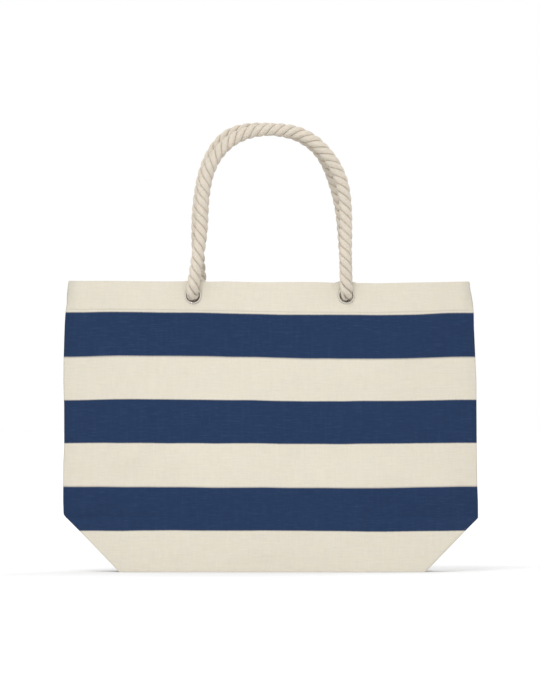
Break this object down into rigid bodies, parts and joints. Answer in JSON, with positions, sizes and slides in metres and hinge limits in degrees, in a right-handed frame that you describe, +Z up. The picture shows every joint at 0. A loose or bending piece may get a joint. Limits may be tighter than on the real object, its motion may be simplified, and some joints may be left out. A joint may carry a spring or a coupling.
{
  "type": "beach bag",
  "caption": "Open striped canvas beach bag with a boxed base, rolled eyelets and two twisted rope handles that swing over the rim.",
  "frame": {"origin": "centre of the base's underside, on the surface the bag stands on", "axes": "+Z up; the bag's two broad striped faces look towards -Y and +Y; +X along its width"},
  "size_m": [0.54, 0.14, 0.5814],
  "materials": {
    "canvas": "plain-weave cotton canvas, natural cream with woven dark blue stripes",
    "rope": "three-strand twisted cotton, natural",
    "eyelet": "nickel plated, softly polished",
    "seam": "overlocked cotton edge"
  },
  "bodies": {
    "bag": {"front_panel": "canvas", "back_panel": "canvas", "left_side_seam": "seam", "right_side_seam": "seam", "bottom_seam": "seam", "left_corner_seam": "seam", "right_corner_seam": "seam", "eyelet_front_left": "eyelet", "eyelet_front_right": "eyelet", "eyelet_back_left": "eyelet", "eyelet_back_right": "eyelet", "washer_front_left": "eyelet", "washer_front_right": "eyelet", "washer_back_left": "eyelet", "washer_back_right": "eyelet", "knot_front_left": "rope", "knot_front_right": "rope", "knot_back_left": "rope", "knot_back_right": "rope"},
    "front_handle": {"front_handle_rope": "rope"},
    "rear_handle": {"rear_handle_rope": "rope"}
  },
  "joints": [
    {"name": "front_handle_swing", "type": "hinge", "parent": "bag", "child": "front_handle", "pos_m": [0, -0.0516, 0.357], "axis": [1, 0, 0], "range_deg": [0, 178]},
    {"name": "rear_handle_swing", "type": "hinge", "parent": "bag", "child": "rear_handle", "pos_m": [0, 0.0516, 0.357], "axis": [-1, 0, 0], "range_deg": [0, 178]}
  ]
}
